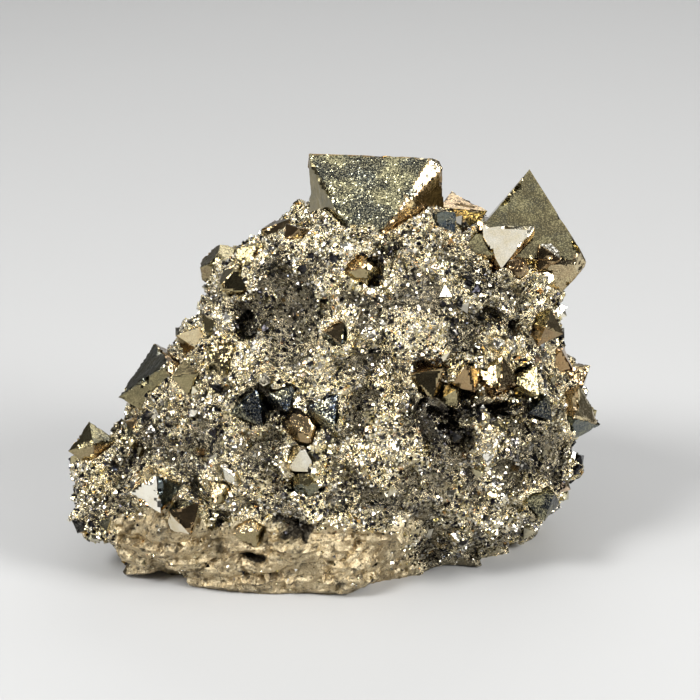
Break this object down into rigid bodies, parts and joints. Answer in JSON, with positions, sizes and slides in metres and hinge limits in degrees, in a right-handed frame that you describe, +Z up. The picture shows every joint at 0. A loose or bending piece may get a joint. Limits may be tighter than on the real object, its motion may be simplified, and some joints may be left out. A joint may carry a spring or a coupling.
{
  "type": "pyrite specimen",
  "caption": "Pyrite cluster: a rounded mass of brassy granular pyrite with octahedral crystals standing out of its top, sides and front. Rests on its flat broken base.",
  "frame": {"origin": "centre of the bounding box at the level of the flat base", "axes": "+Z up out of the base, -Y towards the front that carries the crown's large face, +X to the viewer's right, along the specimen's length"},
  "size_m": [0.0814, 0.0552, 0.0617],
  "materials": {
    "granular_pyrite": "metallic brassy lustre on fine broken grains, satin overall with bright glints",
    "crystal_pyrite": "metallic, bright and smooth on crystal faces, lightly tarnished brown and blue-grey"
  },
  "bodies": {
    "root": {"back_crystal_1": "crystal_pyrite", "back_crystal_10": "crystal_pyrite", "back_crystal_2": "crystal_pyrite", "back_crystal_3": "crystal_pyrite", "back_crystal_4": "crystal_pyrite", "back_crystal_5": "crystal_pyrite", "back_crystal_6": "crystal_pyrite", "back_crystal_7": "crystal_pyrite", "back_crystal_8": "crystal_pyrite", "back_crystal_9": "crystal_pyrite", "bead_crystal_1": "crystal_pyrite", "bead_crystal_2": "crystal_pyrite", "behind_crown_crystal": "crystal_pyrite", "block_crystal": "crystal_pyrite", "brow_crystal": "crystal_pyrite", "cap_crystal": "crystal_pyrite", "crown_foot_crystal_1": "crystal_pyrite", "crown_foot_crystal_2": "crystal_pyrite", "crown_foot_crystal_3": "crystal_pyrite", "crown_octahedron": "crystal_pyrite", "dark_crystal_1": "crystal_pyrite", "dark_crystal_2": "crystal_pyrite", "dark_crystal_3": "crystal_pyrite", "flank_bead_crystal": "crystal_pyrite", "foot_blade": "crystal_pyrite", "front_bead_crystal": "crystal_pyrite", "front_prism": "crystal_pyrite", "granular_mass": "granular_pyrite", "ledge_crystal_1": "crystal_pyrite", "ledge_crystal_2": "crystal_pyrite", "ledge_crystal_3": "crystal_pyrite", "ledge_crystal_4": "crystal_pyrite", "ledge_crystal_5": "crystal_pyrite", "left_flank_crystal": "crystal_pyrite", "left_lower_crystal": "crystal_pyrite", "low_dark_crystal": "crystal_pyrite", "peak_octahedron": "crystal_pyrite", "peak_step_crystal_1": "crystal_pyrite", "peak_step_crystal_2": "crystal_pyrite", "right_edge_crystal": "crystal_pyrite", "right_facet_crystal": "crystal_pyrite", "right_flank_crystal": "crystal_pyrite", "right_point_crystal": "crystal_pyrite", "shoulder_crystal": "crystal_pyrite", "slope_crystal_1": "crystal_pyrite", "slope_crystal_2": "crystal_pyrite", "slope_crystal_3": "crystal_pyrite", "slope_crystal_4": "crystal_pyrite", "slope_crystal_5": "crystal_pyrite", "spur_octahedron": "crystal_pyrite", "star_crystal_1": "crystal_pyrite", "star_crystal_2": "crystal_pyrite", "star_crystal_3": "crystal_pyrite", "striated_crystal": "crystal_pyrite", "striated_lump_crystal": "crystal_pyrite", "under_ledge_crystal": "crystal_pyrite", "upper_front_crystal": "crystal_pyrite", "white_prism": "crystal_pyrite"}
  },
  "joints": []
}
